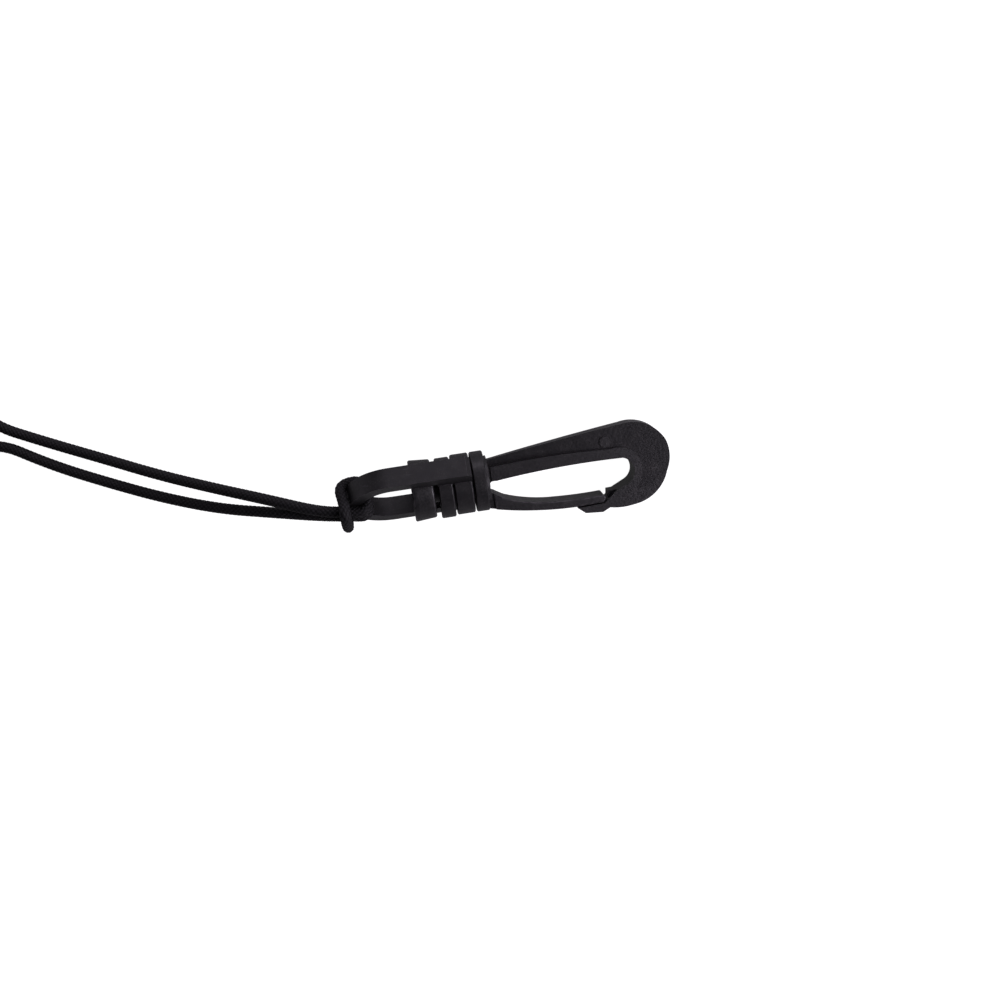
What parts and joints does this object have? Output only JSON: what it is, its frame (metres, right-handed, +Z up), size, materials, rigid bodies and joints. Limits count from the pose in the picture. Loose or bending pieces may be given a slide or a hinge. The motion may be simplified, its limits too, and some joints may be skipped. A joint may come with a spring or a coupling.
{
  "type": "swivel snap hook with lanyard",
  "caption": "Moulded plastic snap hook with a sprung gate and a swivel bail, hitched to a braided neck lanyard cord.",
  "frame": {"origin": "on the table under the middle of the clip's box, the lanyard left out", "axes": "+X from the bail to the hook's nose, +Y across the hook from its gate to its back, +Z up from the table"},
  "size_m": [0.1917, 0.062, 0.0212],
  "materials": {
    "acetal": "satin moulded acetal, black",
    "cord": "braided nylon, black",
    "tie": "matt rubber band, black"
  },
  "bodies": {
    "bail": {"bail": "acetal", "lanyard_hitch": "cord", "lanyard_strand_upper": "cord", "lanyard_strand_lower": "cord", "lanyard_coil": "cord", "coil_tie": "tie"},
    "hook": {"hook_frame": "acetal", "swivel_head": "acetal"},
    "gate": {"gate_arm": "acetal"}
  },
  "joints": [
    {"name": "swivel", "type": "hinge", "parent": "bail", "child": "hook", "pos_m": [-0.0051, 0.00109, 0.00887], "axis": [0.9911, 0, -0.1331], "continuous": true},
    {"name": "gate", "type": "hinge", "parent": "hook", "child": "gate", "pos_m": [-0.00144, -0.00446, 0.00838], "axis": [0.1331, 0, 0.9911], "range_deg": [0, 17], "stiffness_Nm_per_rad": 0.3}
  ]
}
